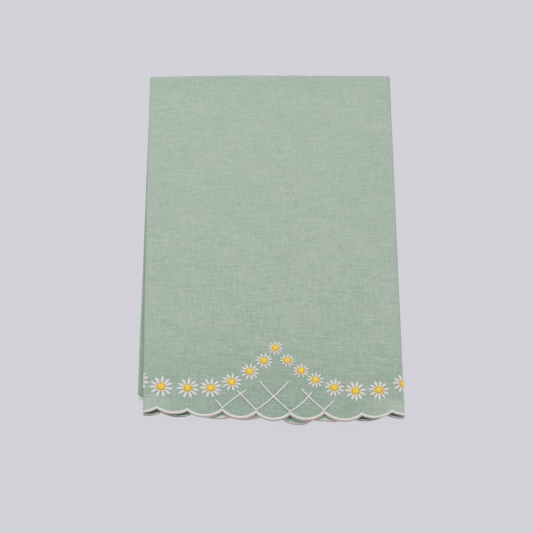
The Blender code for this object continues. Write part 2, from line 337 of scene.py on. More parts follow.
def shape(mesh: Mesh, place: Callable[[Vector], FlatPoint]) -> Mesh:
    """Move each point of an operator's shape, and give it a place on the thread map.

    Args:
        mesh: The shape as the operator made it.
        place: Gives a point's new place and its place on the map, from its old place.

    Returns:
        The same mesh, welded, smooth and facing outwards if it is closed.
    """
    layer = mesh.loops.layers.uv.new(THREAD_MAP)
    mesh.verts.index_update()
    mapped = []
    for vertex in mesh.verts:
        vertex.co, on_map = place(vertex.co.copy())
        mapped.append(on_map)
    for face in mesh.faces:
        face.smooth = True
        for loop in face.loops:
            loop[layer].uv = mapped[loop.vert.index]
    bmesh.ops.remove_doubles(mesh, verts=mesh.verts, dist=WELD)
    if not any(edge.is_boundary for edge in mesh.edges):
        bmesh.ops.recalc_face_normals(mesh, faces=mesh.faces)
    return mesh


def grid(columns: int, rows: int, place: Callable[[int, int], FlatPoint]) -> Mesh:
    """Make a grid of points and place each by its column and row."""
    mesh = bmesh.new()
    bmesh.ops.create_grid(mesh, x_segments=columns - 1, y_segments=rows - 1, size=1.0)

    def spot(old: Vector) -> FlatPoint:
        """Return the place of a grid point."""
        column = round((old.x + 1.0) / 2.0 * (columns - 1))
        return place(column, round((old.y + 1.0) / 2.0 * (rows - 1)))

    return shape(mesh, spot)


def bead(sides: int, rings: int, place: Callable[[float, float, int], FlatPoint]) -> Mesh:
    """Make a closed bead and place its points by share of its length, turn and ring."""
    mesh = bmesh.new()
    bmesh.ops.create_uvsphere(mesh, u_segments=sides, v_segments=rings, radius=1.0)

    def spot(old: Vector) -> FlatPoint:
        """Return the place of a point of the bead."""
        share = math.acos(max(-1.0, min(1.0, old.z))) / math.pi
        return place(share, math.atan2(old.y, old.x), round(share * rings))

    return shape(mesh, spot)


def joined(meshes: list[Mesh]) -> Mesh:
    """Return several meshes as one, and free them."""
    whole = bmesh.new()
    carrier = bpy.data.meshes.new("carrier")
    for mesh in meshes:
        mesh.to_mesh(carrier)
        mesh.free()
        whole.from_mesh(carrier)
    bpy.data.meshes.remove(carrier)
    return whole


# Finishes


def joined_by(operation: str, swapped: bool = False) -> Callable[["Signal", object], "Signal"]:
    """Return the method that joins a signal and another value in a Math node."""

    def method(self: "Signal", other: "Signal | float") -> "Signal":
        """Join the two."""
        return self.math(operation, *((other, self) if swapped else (self, other)))

    return method


class Signal:
    """A value that changes over a surface, written as Python arithmetic."""

    def __init__(self, shader: "Shader", socket: bpy.types.NodeSocket) -> None:
        """Keep the graph and the socket that carries the value."""
        self.shader = shader
        self.socket = socket

    def math(self, operation: str, *values: "Signal | float", clamp: bool = False) -> "Signal":
        """Return a Math node's result on the values."""
        sockets = dict(zip(("Value", "Value_001", "Value_002"), values))
        settings = {"operation": operation, "use_clamp": clamp}
        return self.shader.node("ShaderNodeMath", settings, sockets, "Value")

    __add__ = __radd__ = joined_by("ADD")
    __sub__ = joined_by("SUBTRACT")
    __rsub__ = joined_by("SUBTRACT", swapped=True)
    __mul__ = joined_by("MULTIPLY")
    __truediv__ = joined_by("DIVIDE")
    over = joined_by("MAXIMUM")

    def floor(self) -> "Signal":
        """Round down."""
        return self.math("FLOOR", self)

    def wave(self) -> "Signal":
        """Return the cosine of this many whole turns."""
        return self.math("COSINE", self * math.tau)

    def clamped(self) -> "Signal":
        """Keep it from 0 to 1."""
        return self.math("ADD", self, 0.0, clamp=True)

    def ramp(self, start: float, end: float, share: float = 1.0) -> "Signal":
        """Return 0 at start and the share at end, which may be the lower, with level ends."""
        sockets = {"Value": self, "From Min": start, "From Max": end}
        settings = {"interpolation_type": "SMOOTHSTEP"}
        return self.shader.node("ShaderNodeMapRange", settings, sockets, "Result") * share


class Shader:
    """Node graph of one material that ends in a Principled shader."""

    def __init__(self, name: str, constants: dict[str, object]) -> None:
        """Make the material and set what is the same all over it."""
        self.material = bpy.data.materials.new(name)
        self.material.use_nodes = True
        self.tree = self.material.node_tree
        self.surface = self.tree.nodes["Principled BSDF"]
        for socket, value in constants.items():
            self.surface.inputs[socket].default_value = value

    def feed(self, node: bpy.types.Node, identifier: str, value: object) -> None:
        """Set a node's socket to a value, or link a signal to it."""
        socket = next(item for item in node.inputs if item.identifier == identifier)
        if isinstance(value, Signal):
            self.tree.links.new(value.socket, socket)
        else:
            socket.default_value = value

    def node(
        self, kind: str, settings: dict[str, object], sockets: dict[str, object], output: str
    ) -> Signal:
        """Make a node, set its settings, feed its sockets by identifier and return an output."""
        made = self.tree.nodes.new(kind)
        for name, value in settings.items():
            setattr(made, name, value)
        for identifier, value in sockets.items():
            self.feed(made, identifier, value)
        return Signal(self, next(item for item in made.outputs if item.identifier == output))

    def flat_place(self) -> tuple[Signal, Signal]:
        """Return the two coordinates of the piece's thread map, in millimetres."""
        place = {"Vector": self.node("ShaderNodeUVMap", {"uv_map": THREAD_MAP}, {}, "UV")}
        return tuple(self.node("ShaderNodeSeparateXYZ", {}, place, axis) for axis in "XY")

    def noise(self, x: Signal, y: Signal, layer: float, detail: float) -> Signal:
        """Return soft noise about 0, from -0.5 to 0.5, at a place in noise lengths."""
        place = self.node("ShaderNodeCombineXYZ", {}, {"X": x, "Y": y, "Z": layer}, "Vector")
        sockets = {"Vector": place, "Scale": 1.0, "Detail": detail, "Roughness": NOISE_ROUGHNESS}
        return self.node("ShaderNodeTexNoise", {}, sockets, "Fac") - 0.5

    def mix(self, share: Signal, first: object, second: object) -> Signal:
        """Mix two colours by a share."""
        sockets = {"Factor_Float": share, "A_Color": first, "B_Color": second}
        return self.node("ShaderNodeMix", {"data_type": "RGBA"}, sockets, "Result_Color")

    def finished(self, colour: Signal, roughness: Signal, relief: Signal, bump: Pair) -> Material:
        """Feed what varies to the surface; a bump is the relief's height and strength."""
        distance, strength = bump
        sockets = {"Height": relief, "Distance": distance * MM, "Strength": strength}
        normal = self.node("ShaderNodeBump", {}, sockets, "Normal")
        for socket, value in (("Base Color", colour), ("Roughness", roughness), ("Normal", normal)):
            self.feed(self.surface, socket, value)
        return self.material


def rgba(colour: Triple) -> tuple[float, float, float, float]:
    """Return an opaque colour."""
    return (*colour, 1.0)


@dataclass(frozen=True)
class Grain:
    """A layer of noise, with its lengths along the two axes of the thread map."""

    across: float
    up: float
    layer: float
    detail: float = 1.0

    def at(self, across: Signal, up: Signal) -> Signal:
        """Return the noise at a place."""
        place = across / self.across, up / self.up
        return across.shader.noise(*place, self.layer, self.detail)


@dataclass(frozen=True)
class LinenFinish:
    """Plain-woven linen with uneven yarns, slubs and small knots, and painted shade and painted light
    in bands and patches.

    A ramp is where a change starts, where it ends and its share. A patch has a ramp out
    from the middle and one down the cloth, with one share.
    """

    warp_pitch: float = 0.53
    weft_pitch: float = 0.56
    yarn_step: float = 0.73  # how far apart two yarns lie in the noise
    sink: float = 0.4  # how much lower a yarn lies where it passes under
    deep: Triple = (0.270, 0.383, 0.297)
    pale: Triple = (0.507, 0.597, 0.512)
    flax: Triple = (0.450, 0.475, 0.375)
    knot: Triple = (0.66, 0.72, 0.66)
    # painted shade: deep green on the flaps' cloth under the front hem
    shade: Triple = (0.075, 0.185, 0.090)
    # painted light: a paler green on the flaps' cloth beside the edging, far from the side folds
    corner: Triple = (0.47, 0.74, 0.58)
    weft: Grain = Grain(9.0, 1.0, 1.3, 2.0)
    warp: Grain = Grain(1.0, 11.0, 4.1, 2.0)
    weft_slubs: Grain = Grain(24.0, 1.5, 7.9, 2.0)
    warp_slubs: Grain = Grain(1.5, 16.0, 11.2, 2.0)
    clouds: Grain = Grain(26.0, 20.0, 15.6, 3.0)
    fibres: Grain = Grain(0.8, 0.8, 19.4)
    streaks: Grain = Grain(30.0, 2.2, 23.3, 2.0)
    specks: Grain = Grain(1.7, 1.5, 36.8)
    knots: Grain = Grain(0.8, 2.6, 29.5, 0.0)
    yarn_shares: tuple[float, ...] = (0.95, 0.62, 0.42, 0.30, 1.25)  # weft, warp, slubs, fibres
    contrast: float = 1.08
    calm: Triple = (20.0, 260.0, 0.32)
    cloud_share: float = 0.20
    streak_cloud: float = 0.5
    streak_ramp: Triple = (0.0, 0.4, 0.35)
    speck_ramp: Triple = (-0.15, 0.35, 0.42)
    knot_ramp: Triple = (0.33, 0.40, 0.7)
    roughness: Pair = (0.95, 0.15)  # in the gaps, and how much less on the yarns
    slub_lift: Pair = (0.8, 0.6)  # of weft and of warp
    bump: Pair = (0.12, 0.5)
    # Painted shade: deeper near the hem, most in the middle, toward the top fold and on the
    # turned-under back half.
    hem_shade_ramp: Triple = (92.0, 16.0, 1.0)
    hem_shade_depth: float = 0.05
    middle_length: float = 240.0
    middle_shade_depth: float = 0.12
    painted_shade_ramps: Rows = ((52.0, 28.0, 0.15), (255.0, 280.0, 0.09), (290.0, 294.0, 0.30))
    # Painted light: paler near the hem beside the side folds, and on the flaps near the hem.
    painted_light_patches: Rows = ((62.0, 88.0, 13.0, 4.0, 0.42), (118.0, 150.0, 30.0, 14.0, 0.45))
    # painted shade on the flaps under the front hem
    painted_shade_patch: Span = (94.0, 98.0, 9.0, 3.0, 0.85)
    # painted light on the flaps beside the edging, far from the side folds
    painted_light_patch: Span = (138.0, 149.0, -1.2, -3.5, 1.0)

    def patch(self, u: Signal, v: Signal, ramps: Span) -> Signal:
        """Return the share of a patch at a place."""
        return u.math("ABSOLUTE", u).ramp(*ramps[:2]) * v.ramp(*ramps[2:])

    def painted_shade_and_light(self, u: Signal, v: Signal) -> Signal:
        """Return how much painted shade deepens the colour about the embroidery, most in the middle,
        toward the top fold and on the back half, less the painted light of the patches.
        """
        middle = (u / self.middle_length).wave().over(0.0) * self.middle_shade_depth
        near = v.ramp(*self.hem_shade_ramp) * (middle + self.hem_shade_depth)
        deep = sum(v.ramp(*ramp) for ramp in self.painted_shade_ramps)
        return near + deep - sum(self.patch(u, v, ramps) for ramps in self.painted_light_patches)

    def weave(self, across: Signal, up: Signal) -> Signal:
        """Return the height of the yarns, from 0 to 1, at a place counted in yarns."""
        warp_round = (1.0 - across.wave()) * 0.5
        weft_round = (1.0 - up.wave()) * 0.5
        # each yarn passes over and under in turn, so a wave is two yarns long
        warp_over = (across.floor() * 0.5).wave() * (up * 0.5 - 0.25).wave()
        weft_over = (up.floor() * 0.5).wave() * (across * 0.5 - 0.25).wave()
        level = 1.0 - self.sink
        warp = warp_round * (warp_over * self.sink + level)
        return warp.over(weft_round * (level - weft_over * self.sink))

    def material(self) -> Material:
        """Make the cloth's material."""
        shader = Shader("woven_linen", LINEN_SURFACE)
        u, v = shader.flat_place()
        across, up = u / self.warp_pitch, v / self.weft_pitch
        weft_slubs, warp_slubs = self.weft_slubs.at(u, v), self.warp_slubs.at(u, v)
        clouds = self.clouds.at(u, v)
        layers = (
            self.weft.at(u, up.floor() * self.yarn_step),
            self.warp.at(across.floor() * self.yarn_step, v),
            weft_slubs,
            warp_slubs,
            self.fibres.at(u, v),
        )
        yarns = sum(layer * share for layer, share in zip(layers, self.yarn_shares))
        tone = 0.5 + yarns * (self.contrast - v.ramp(*self.calm))
        tone = tone + clouds * self.cloud_share - self.painted_shade_and_light(u, v)
        streaks = (self.streaks.at(u, v) + clouds * self.streak_cloud).ramp(*self.streak_ramp)
        warm = streaks + self.specks.at(u, v).ramp(*self.speck_ramp)
        colour = shader.mix(tone.clamped(), rgba(self.deep), rgba(self.pale))
        # after flax and knots: painted shade under the front hem, then painted light on the flaps
        # beside the edging
        for share, other in (
            (warm, self.flax),
            (self.knots.at(u, v).ramp(*self.knot_ramp), self.knot),
            (self.patch(u, v, self.painted_shade_patch), self.shade),
            (self.patch(u, v, self.painted_light_patch), self.corner),
        ):
            colour = shader.mix(share, colour, rgba(other))
        height = self.weave(across, up)
        level, less = self.roughness
        weft_lift, warp_lift = self.slub_lift
        relief = height + weft_slubs * weft_lift + warp_slubs * warp_lift
        return shader.finished(colour, level - height * less, relief, self.bump)


@dataclass(frozen=True)
class SatinFinish:
    """Satin stitches of shiny thread, with painted shade between one stitch and the next and, where
    asked, painted shade toward the thread's outer side.
    """

    name: str
    crest: Triple
    # the darker colour: painted shade between stitches, and the dark end of random tone
    valley_shade_and_tone: Triple
    stitch_pitch: float = 0.42
    stitch_share: float = 0.55
    strands: Grain = Grain(0.09, 1.4, 2.2)
    strand_share: float = 0.30
    tones: Grain = Grain(1.9, 3.0, 6.4)
    tone_share: float = 0.25
    roughness: Pair = (0.62, 0.3)  # and how much a strand changes it
    stitch_lift: float = 0.4
    bump: Pair = (0.05, 0.4)
    # The colour toward the outer side is painted shade: on the edging's hanging outer side, and round
    # the yellow disc's edge.
    rim_shade_ramp: Triple = (0.0, 1.0, 0.0)  # how far out its colour starts and ends, and its share
    rim_shade: Triple = (0.49, 0.41, 0.30)

    def material(self) -> Material:
        """Make the thread's material."""
        shader = Shader(self.name, THREAD_SURFACE)
        along, out = shader.flat_place()
        # the stitch wave paints shade between one stitch and the next, in step with the ridges;
        # strands and tones vary the colour at random
        stitch = (along / self.stitch_pitch).wave() * 0.5 + 0.5
        strands = self.strands.at(along, out)
        share = stitch * self.stitch_share + (1.0 - self.stitch_share)
        share += strands * self.strand_share + self.tones.at(along, out) * self.tone_share
        colour = shader.mix(share.clamped(), rgba(self.valley_shade_and_tone), rgba(self.crest))
        # painted shade toward the thread's outer side, where a share is set
        if self.rim_shade_ramp[-1]:
            colour = shader.mix(out.ramp(*self.rim_shade_ramp), colour, rgba(self.rim_shade))
        level, change = self.roughness
        relief = strands + stitch * self.stitch_lift
        return shader.finished(colour, level + strands * change, relief, self.bump)


# Pieces


def linked(name: str, data: bpy.types.ID) -> Object:
    """Put a mesh, lamp or camera in the scene."""
    made = bpy.data.objects.new(name, data)
    bpy.context.scene.collection.objects.link(made)
    return made


def solid(name: str, mesh: Mesh, material: Material) -> Object:
    """Put a shape in the scene with its finish, and free it."""
    data = bpy.data.meshes.new(name)
    mesh.to_mesh(data)
    mesh.free()
    data.materials.append(material)
    return linked(name, data)


@dataclass(frozen=True)
class Workroom:
    """Lays finished flat shapes on the folded towel and ties them to the frame."""

    folding: Folding

    def add(self, name: str, mesh: Mesh, material: Material, node: str, slot: Slot) -> Object:
        """Fold a flat mesh with the towel, and make it the piece that stands for a node."""
        for vertex in mesh.verts:
            vertex.co = self.folding.lay(*vertex.co) * MM
        piece = solid(name, mesh, material)
        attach(piece, ROOT)
        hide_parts(node)
        LOG.info("%s: %d faces, for %s", name, len(piece.data.polygons), node)
        return piece


@dataclass(frozen=True)
class Cloth:
    """The one piece of linen, with its two scalloped ends."""

    front: Scallops
    back: Scallops
    width: float = 356.0
    cut_length: float = 565.0
    thickness: float = 0.5
    tuck: float = 1.0  # how far the cloth runs into the edging
    hem_reach: float = 22.0
    least_gap: float = 0.2
    column_steps: Rows = (
        # to this distance from the middle, step
        (88.4, 1.7), (96.4, 0.42), (178.0, 3.2),
    )
    row_steps: Rows = (
        # to this height, step
        (22.0, 1.1), (64.0, 2.3), (279.0, 3.4),
        (292.0, 0.6), (528.0, 4.6), (550.0, 1.7),
    )

    def columns(self) -> list[float]:
        """Return the places across the cloth that get a line of points."""
        breaks = {span[0] for end in (self.front, self.back) for span in end.spans()}
        breaks |= {-self.width / 2.0, 0.0, self.width / 2.0}
        breaks |= {side * place for place, _ in self.column_steps for side in (-1.0, 1.0)}
        ordered: list[float] = []
        for place in sorted(breaks):
            if not ordered or place - ordered[-1] > self.least_gap:
                ordered.append(place)
        found = [ordered[0]]
        for left, right in zip(ordered[:-1], ordered[1:]):
            middle = abs(left + right) / 2.0
            step = next(step for reach, step in self.column_steps if middle <= reach)
            found += spread(left, right, max(1, round((right - left) / step)))
        return found

    def rows(self) -> list[float]:
        """Return the heights that get a line of points, before the scallops move them."""
        found = [0.0]
        for reach, step in self.row_steps:
            start = found[-1]
            found += spread(start, reach, max(1, round((reach - start) / step)))
        return found

    def build(self, room: Workroom, material: Material) -> Object:
        """Weave the cloth and fold it."""
        columns, rows = self.columns(), self.rows()
        length = rows[-1]

        def place(column: int, row: int) -> FlatPoint:
            """Return where a crossing of two lines lies on the flat cloth."""
            u, v = columns[column], rows[row]
            front_share = max(1.0 - v / self.hem_reach, 0.0)
            back_share = max(1.0 - (length - v) / self.hem_reach, 0.0)
            if front_share > 0.0:
                v += self.front.edge(u, self.tuck + room.folding.inset(u)) * front_share
            if back_share > 0.0:
                v -= self.back.edge(u, self.tuck) * back_share
            return Vector((u, v, 0.0)), (u, v)

        mesh = grid(len(columns), len(rows), place)
        cloth = room.add("towel_linen", mesh, material, "linen", Slot.LINEN)
        wall = cloth.modifiers.new("Cloth thickness", "SOLIDIFY")
        wall.thickness = self.thickness * MM
        wall.offset = 0.0
        return cloth


@dataclass(frozen=True)
class Edging:
    """Satin-stitched edge that wraps one scalloped end of the cloth."""

    folding: Folding
    scallops: Scallops
    end: End
    width: float = 2.45
    side_narrowing: float = 0.55  # toward the side folds, on the front only
    narrowing_across: Pair = (44.0, 76.0)
    half_height: float = 0.48
    roundness: float = 0.7
    ridge: float = 0.05
    ridge_reach: float = 0.6  # share of a ridge that shows along the outer side
    droop: float = 0.6  # how far the outer side of the free end hangs
    droop_start: float = 0.45  # share of the width
    droop_power: float = 1.5
    raggedness: Rough = (0.10, 0.37, 0.0, 1.0)
    ring_step: float = 0.21
    sides: int = 10

    def stations(self) -> list[float]:
        """Return the places across the cloth of the edging's sections."""
        found = [self.scallops.spans()[0][0]]
        for left, right, *_ in self.scallops.spans():
            found += spread(left, right, 2 * round((right - left) / self.ring_step / 2.0))
        return found

    def hang(self, out: float) -> float:
        """Return how far the edging hangs at a share of its width; the plain end lies flat."""
        if self.end is End.BACK:
            return 0.0
        share = max(out - self.droop_start, 0.0) / (1.0 - self.droop_start)
        return self.droop * share ** self.droop_power

    def width_at(self, u: float) -> float:
        """Return the edging's width at a place across the cloth."""
        if self.end is End.BACK:
            return self.width
        narrow = ease(*self.narrowing_across, abs(u)) * (1.0 + self.folding.facing(u)) / 2.0
        return self.width - self.side_narrowing * narrow

    def build(self, room: Workroom, material: Material) -> Object:
        """Stitch the edging round its end of the cloth."""
        stations = self.stations()
        last = len(stations) - 1

        def place(column: int, row: int) -> FlatPoint:
            """Return a point of the section at one station."""
            u = stations[column]
            closing = 0.0 if column in (0, last) else 1.0
            crest = 1.0 if column % 2 == 0 else -1.0
            around = math.tau * (row % self.sides) / self.sides
            out = 0.5 - 0.5 * math.cos(around) * closing
            lift = math.sin(around)
            rounded = math.copysign(abs(lift) ** self.roundness, lift)
            height = (self.half_height + self.ridge * crest) * rounded * closing
            height -= self.hang(out) * self.folding.facing(u)
            rag = own_noise(column, 0, self.raggedness) * (1.0 - out)
            u_out = u + self.scallops.slant(u, self.width) * out
            near = self.scallops.edge(u, self.folding.inset(u) if self.end is End.FRONT else 0.0)
            reach = self.width_at(u) + self.ridge * crest * self.ridge_reach
            far = self.scallops.edge(u_out, reach)
            up = near + rag + (far - near - rag) * out
            v = up if self.end is End.FRONT else self.folding.hem_to_hem - up
            # the map's second coordinate, how far out, places the painted shade on the outer side
            return Vector((u_out, v, height)), (column * self.ring_step, out * self.width_at(u))

        mesh = grid(len(stations), self.sides + 1, place)
        node = f"edging_{self.end.value}"
        return room.add(f"satin_{node}", mesh, material, node, Slot.WHITE)


@dataclass(frozen=True)
class Daisy:
    """One embroidered daisy: its petals and its domed centre.

    A petal's root, tip and half width, its thread's inset and a ray's reach are shares of
    the daisy's width, and a row's half width is a share of the rows' pitch.
    """

    number: int
    across: float
    up: float
    width: float
    turn: float
    petals: int = 11
    turns: tuple[float, ...] = (0.0, 4.0, 4.0, 0.0, 1.0, 3.0, 7.0, 6.0, 2.0, 3.0, -2.0)
    petal_mesh: tuple[int, int] = (10, 24)  # sides and rings
    petal_root: float = 0.13
    petal_tip: float = 0.532
    petal_half: float = 0.080
    petal_waist: float = 0.36  # share of its full width at the root
    petal_belly: float = 0.6  # share of its length at which it is full
    petal_point: float = 4.5  # the higher, the blunter
    petal_height: float = 0.78
    petal_crown: float = 0.6  # the lower, the flatter on top
    petal_floor: float = -0.1
    length_noise: Rough = (0.06, 1.7, 2.3, 0.4)
    width_noise: Rough = (0.16, 1.9, 1.3, 7.0)
    thread_inset: float = 0.02
    base: float = 0.2
    ridge: float = 0.05
    ridge_pitch: float = 0.21
    disc_radius: Pair = (1.85, 0.06)  # and its growth with the width
    disc_height: float = 1.15
    disc_power: float = 2.4
    disc_mesh: tuple[int, int] = (20, 12)  # sides and rings
    disc_sink: float = 0.07  # how far the pad lies under its stitches
    disc_rows: int = 11
    row_sink: float = 0.16
    row_overhang: float = 1.03
    row_half: float = 0.60
    ray_start: float = 0.90
    ray_reach: float = 1.7 / 16.4  # how far it reaches past the disc
    ray_half: float = 0.27
    ray_top: float = 0.95
    stitch_mesh: tuple[int, int] = (6, 8)  # sides and rings
    stitch_low: float = 0.25
    stitch_roundness: float = 0.5
    stitch_arch: float = 0.7

    def radius(self) -> float:
        """Return the radius of the yellow disc."""
        return self.disc_radius[0] + self.disc_radius[1] * self.width

    def outness(self, spot: Vector) -> float:
        """Return how far out of the disc a point lies, where 1 is the disc's radius."""
        return (spot - self.middle()).xy.length / self.radius()

    def axis(self, steps: float) -> tuple[Vector, Vector]:
        """Return the directions out along and across a petal, counted from the first."""
        angle = self.turn + math.tau * steps / self.petals + math.radians(self.lean(steps))
        out = Vector((math.cos(angle), math.sin(angle), 0.0))
        return out, Vector((-out.y, out.x, 0.0))

    def lean(self, steps: float) -> float:
        """Return how many degrees a petal, or a gap between two, stands off from even."""
        first = math.floor(steps)
        share = steps - first
        left, right = self.turns[first % self.petals], self.turns[(first + 1) % self.petals]
        return left * (1.0 - share) + right * share

    def middle(self) -> Vector:
        """Return the daisy's middle on the flat cloth."""
        return Vector((self.across, self.up, 0.0))

    def tip(self, petal: int) -> Vector:
        """Return where a thread starts at the tip of a petal."""
        return self.middle() + self.axis(petal)[0] * self.width * (self.petal_tip - self.thread_inset)

    def petal(self, number: int) -> Mesh:
        """Return one padded petal, widest past its middle, with a ridge for each stitch."""
        out, across = self.axis(number)
        longer = own_noise(self.number, number, self.length_noise)
        wider = own_noise(number, self.number, self.width_noise)
        reach = self.petal_tip * (1.0 + longer) - self.petal_root
        half = self.petal_half * (1.0 + wider)

        def place(share: float, around: float, ring: int) -> FlatPoint:
            """Return a point of the petal's skin."""
            fill = self.petal_waist + (1.0 - self.petal_waist) * min(share / self.petal_belly, 1.0)
            full = fill * (1.0 - share ** self.petal_point) if share > 0.0 else 0.0
            ridge = 1.0 + self.ridge * (1.0 if ring % 2 else -1.0)
            side = math.cos(around) * half * full * self.width * ridge
            lift = max(math.sin(around), self.petal_floor)
            spot = self.middle() + out * (self.petal_root + reach * share) * self.width + across * side
            spot.z = self.base + self.petal_height * lift * full ** self.petal_crown * ridge
            return spot, (ring * self.ridge_pitch, side)

        return bead(*self.petal_mesh, place)

    def stitch(self, start: Vector, end: Vector, half: float, high: float, rimmed: bool) -> Mesh:
        """Return one short stitch as a slim bead.

        Args:
            start: Where it leaves the cloth, flat.
            end: Where it enters the cloth, flat.
            half: Half its width.
            high: Height of its middle.
            rimmed: Whether it takes the painted shade round the disc's edge.

        Returns:
            Its mesh.
        """
        along = (end - start).normalized()
        across = Vector((-along.y, along.x, 0.0))
        low = self.base + self.stitch_low

        def place(share: float, around: float, ring: int) -> FlatPoint:
            """Return a point of the stitch's skin."""
            bulge = math.sin(math.pi * share) if 0.0 < share < 1.0 else 0.0
            reach = half * bulge ** self.stitch_roundness
            spot = start.lerp(end, share) + across * (math.cos(around) * reach)
            spot.z = low + (high - low) * bulge ** self.stitch_arch + math.sin(around) * reach
            return spot, (0.0, self.outness(spot) if rimmed else 0.0)

        return bead(*self.stitch_mesh, place)

    def dome_height(self, share: float) -> float:
        """Return the height of the centre at a share of its radius."""
        return self.base + self.disc_height * math.sqrt(max(1.0 - share ** self.disc_power, 0.0))

    def centre(self) -> list[Mesh]:
        """Return the padded disc, its rows of stitches and the stitches between petals."""
        radius, middle = self.radius(), self.middle()

        def place(share: float, around: float, ring: int) -> FlatPoint:
            """Return a point of the padded disc."""
            out = math.sin(math.pi * share)
            spot = middle + Vector((math.cos(around), math.sin(around), 0.0)) * out * radius
            spot.z = self.dome_height(out) - self.disc_sink if share <= 0.5 else self.base
            # how far out sets the painted shade round the disc's edge
            return spot, (0.0, self.outness(spot))

        meshes = [bead(*self.disc_mesh, place)]
        long, wide = self.axis(0.5)
        pitch = 2.0 * radius / self.disc_rows
        for row in range(self.disc_rows):
            offset = (row - (self.disc_rows - 1) / 2.0) * pitch
            reach = long * math.sqrt(max(radius ** 2 - offset ** 2, 0.0)) * self.row_overhang
            line = middle + wide * offset
            high = self.dome_height(abs(offset) / radius) - self.row_sink
            meshes.append(self.stitch(line - reach, line + reach, pitch * self.row_half, high, True))
        for number in range(self.petals):
            out, _ = self.axis(number + 0.5)
            start = middle + out * radius * self.ray_start
            end = middle + out * (radius + self.ray_reach * self.width)
            meshes.append(self.stitch(start, end, self.ray_half, self.ray_top, False))
        return meshes

    def build(self, room: Workroom, white: Material, yellow: Material, extra: list[Mesh]) -> None:
        """Stitch the daisy on the cloth, with whatever thread starts at its petals."""
        petals = joined([self.petal(number) for number in range(self.petals)] + extra)
        name = f"daisy_{self.number:02d}"
        room.add(f"satin_{name}_petals", petals, white, f"{name}_petals", Slot.WHITE)
        centre = joined(self.centre())
        room.add(f"satin_{name}_centre", centre, yellow, f"{name}_centre", Slot.YELLOW)


@dataclass(frozen=True)
class Cord:
    """One stitched line: a twisted thread laid along a gently bowed path."""

    start: Vector
    end: Vector
    bow: float
    half_width: float
    height: float
    level: float
    sides: int = 8
    twist_pitch: float = 1.3
    twist_depth: float = 0.10
    strand_lean: float = 0.5
    ring_step: float = 0.26
    least_rings: int = 6

    def mesh(self) -> Mesh:
        """Return the line as a closed tube, laid flat."""
        along = (self.end - self.start).normalized()
        across = Vector((-along.y, along.x, 0.0))
        downward = -across if across.y > 0.0 else across
        length = (self.end - self.start).length
        rings = max(self.least_rings, round(length / self.ring_step)) + 1

        def place(column: int, row: int) -> FlatPoint:
            """Return a point of the tube's skin."""
            share = column / (rings - 1)
            around = math.tau * (row % self.sides) / self.sides
            run = share * length
            closing = min(run, length - run) / self.half_width
            full = math.sqrt(max(1.0 - (1.0 - min(closing, 1.0)) ** 2, 0.0))
            twist = 1.0 + self.twist_depth * math.cos(2.0 * around + math.tau * run / self.twist_pitch)
            side = math.cos(around) * self.half_width * full * twist
            spot = self.start.lerp(self.end, share)
            spot += downward * (self.bow * 4.0 * share * (1.0 - share)) + across * side
            spot.z = self.level + math.sin(around) * self.height * full * twist
            return spot, (run + side * self.strand_lean, side)

        return grid(rings, self.sides + 1, place)


@dataclass(frozen=True)
class Lattice:
    """Crossing lines of cord stitch above the four middle cusps."""

    scallops: Scallops
    rising: Rows = (
        # scallop, end across, end up, bow below the straight line
        (6, -18.9, 14.6, -0.5), (7, 10.6, 21.8, 1.3),
        (8, 26.9, 13.7, 1.4), (9, 42.6, 7.2, -0.1),
    )
    falling: Rows = (
        (6, -41.2, 6.4, -0.2), (7, -25.6, 13.6, 0.1),
        (8, -9.9, 21.4, 0.9), (9, 19.4, 15.9, 0.5),
    )
    start_drop: float = 0.9
    start_tuck: float = 0.6
    half_width: float = 0.58
    height: float = 0.44
    rising_level: float = 0.55
    falling_level: float = 0.80

    def cords(self) -> list[Cord]:
        """Return every line of the lattice."""
        found = []
        for rows, level in ((self.rising, self.rising_level), (self.falling, self.falling_level)):
            for scallop, across, up, bow in rows:
                left, _, left_up, *_ = self.scallops.spans()[scallop]
                start = Vector((left, left_up - self.start_drop, 0.0))
                end = Vector((across, up, 0.0))
                start += (start - end).normalized() * self.start_tuck
                found.append(Cord(start, end, bow, self.half_width, self.height, level))
        return found

    def build(self, room: Workroom, material: Material) -> Object:
        """Stitch the lattice on the cloth."""
        mesh = joined([cord.mesh() for cord in self.cords()])
        return room.add("cord_lattice", mesh, material, "lattice", Slot.WHITE)


